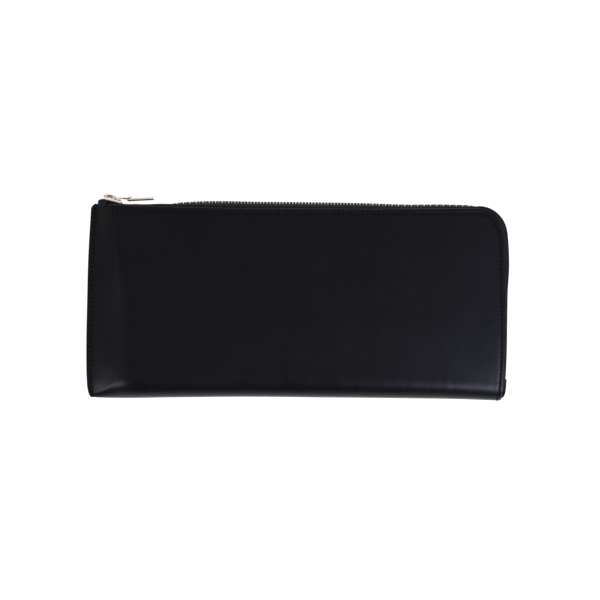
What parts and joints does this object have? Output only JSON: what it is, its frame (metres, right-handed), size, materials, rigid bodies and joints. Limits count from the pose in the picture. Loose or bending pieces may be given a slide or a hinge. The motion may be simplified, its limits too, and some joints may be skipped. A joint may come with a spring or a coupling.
{
  "type": "long wallet",
  "caption": "Slim long wallet of folded smooth leather, closed by an L-shaped metal zip with a slider, link and tab pull; coin pocket, card tiers and bill compartments inside.",
  "frame": {"origin": "middle of the back cover's outer face, which lies on the table", "axes": "+X along the wallet from the sewn end towards the zipped end, +Y across the covers from the fold to the top zip, +Z out of the front cover"},
  "size_m": [0.1997, 0.0962, 0.022],
  "materials": {
    "hide": "smooth black calf, semi-gloss, edges painted black",
    "board": "bonded fibre stiffener, matte",
    "lining_leather": "thin black split leather, matte",
    "pocket_cloth": "black woven pocket cloth",
    "thread": "black bonded polyester thread",
    "zip_tape": "black woven tape",
    "zip_metal": "black-oxide brass teeth, satin",
    "slider_metal": "polished nickel plate",
    "pull_metal": "polished nickel plate"
  },
  "bodies": {
    "root": {"bill_gusset_back": "lining_leather", "bill_gusset_front": "lining_leather", "card_tier_back_1": "lining_leather", "card_tier_back_2": "lining_leather", "card_tier_back_3": "lining_leather", "card_tier_front_1": "lining_leather", "card_tier_front_2": "lining_leather", "card_tier_front_3": "lining_leather", "centre_partition": "lining_leather", "coin_pocket_gusset_left": "pocket_cloth", "coin_pocket_gusset_right": "pocket_cloth", "coin_pocket_wall": "pocket_cloth", "lining": "lining_leather", "outer_hide": "hide", "seam_thread": "thread", "stiffener_board": "board", "zip_bottom_stop": "zip_metal", "zip_tape_rear": "zip_tape", "zip_teeth_rear": "zip_metal", "zip_top_stops": "zip_metal"},
    "mouth": {"outer_hide_mouth": "hide", "stiffener_board_mouth": "board", "lining_mouth": "lining_leather", "seam_thread_mouth": "thread", "zip_tape_front": "zip_tape", "zip_teeth_front": "zip_metal"},
    "slider": {"slider_body": "slider_metal", "slider_bridge": "slider_metal"},
    "link": {"pull_link": "pull_metal"},
    "tab": {"pull_tab": "pull_metal"}
  },
  "joints": [
    {"name": "slider_travel", "type": "slide", "parent": "root", "child": "slider", "axis": [1, 0, 0], "range_m": [0, 0.168], "deforming": ["zip_teeth_rear"]},
    {"name": "mouth_open", "type": "hinge", "parent": "root", "child": "mouth", "pos_m": [-0.086, 0.045, 0.022], "axis": [0.9197, -0.3927, 0], "range_deg": [0, 36], "deforming": ["zip_tape_front", "zip_teeth_front", "bill_gusset_front"]},
    {"name": "pull_link_swing", "type": "hinge", "parent": "slider", "child": "link", "pos_m": [-0.08622, 0.04968, 0.011], "axis": [0, 0, 1], "range_deg": [0, 120]},
    {"name": "pull_tab_swing", "type": "hinge", "parent": "link", "child": "tab", "pos_m": [-0.08002, 0.04968, 0.011], "axis": [0, 0, 1], "range_deg": [-4, 80]}
  ],
  "couplings": [
    {"joint": "mouth_open", "follows": "slider_travel", "rad_per_m": 3.6361}
  ]
}
